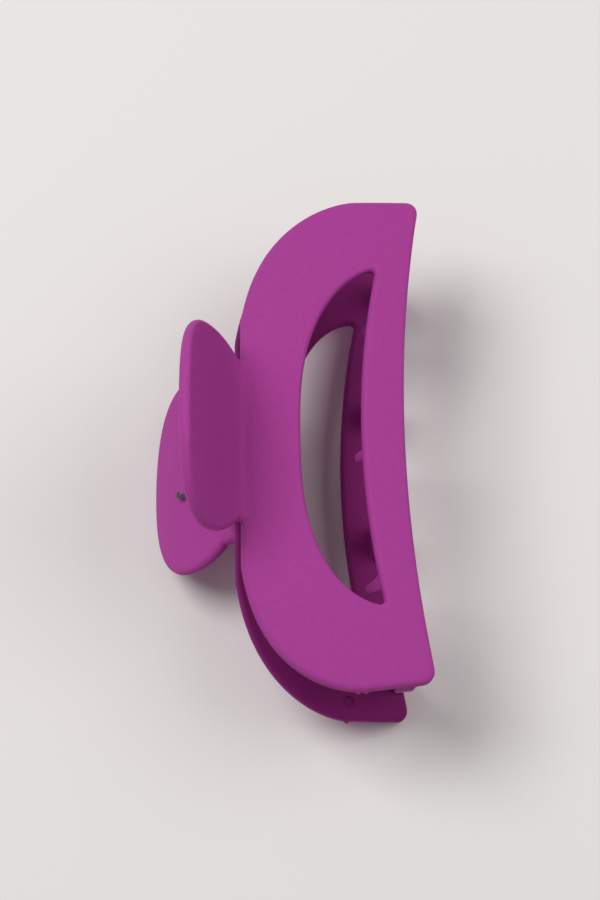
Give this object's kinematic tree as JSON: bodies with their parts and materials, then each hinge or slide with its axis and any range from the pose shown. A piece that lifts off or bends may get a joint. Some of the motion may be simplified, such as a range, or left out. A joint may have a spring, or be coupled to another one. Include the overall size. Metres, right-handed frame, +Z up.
{
  "type": "claw clip",
  "caption": "Half-moon claw clip: D-shaped jaws with a window and teeth inside the tip edge, oval thumb levers, and a sprung pin hinge. It lies closed on its back jaw.",
  "frame": {"origin": "on the surface that the clip lies on, under the middle of its box", "axes": "+Z up from that surface, Y along the hinge pin and the clip's length, +X from the hinge towards the jaws' tips"},
  "size_m": [0.0615, 0.1104, 0.0556],
  "materials": {
    "purple_plastic": "soft-touch matt",
    "steel": "drawn wire, oiled dark"
  },
  "bodies": {
    "back": {"back_jaw": "purple_plastic", "hinge_pin": "steel", "torsion_spring": "steel"},
    "front": {"front_jaw": "purple_plastic"}
  },
  "joints": [
    {"name": "jaw_hinge", "type": "hinge", "parent": "back", "child": "front", "pos_m": [-0.01046, 0.0002, 0.02471], "axis": [0, -1, 0], "range_deg": [0, 100], "stiffness_Nm_per_rad": 0.12, "springref_deg": -68.75, "deforming": ["torsion_spring"]}
  ]
}
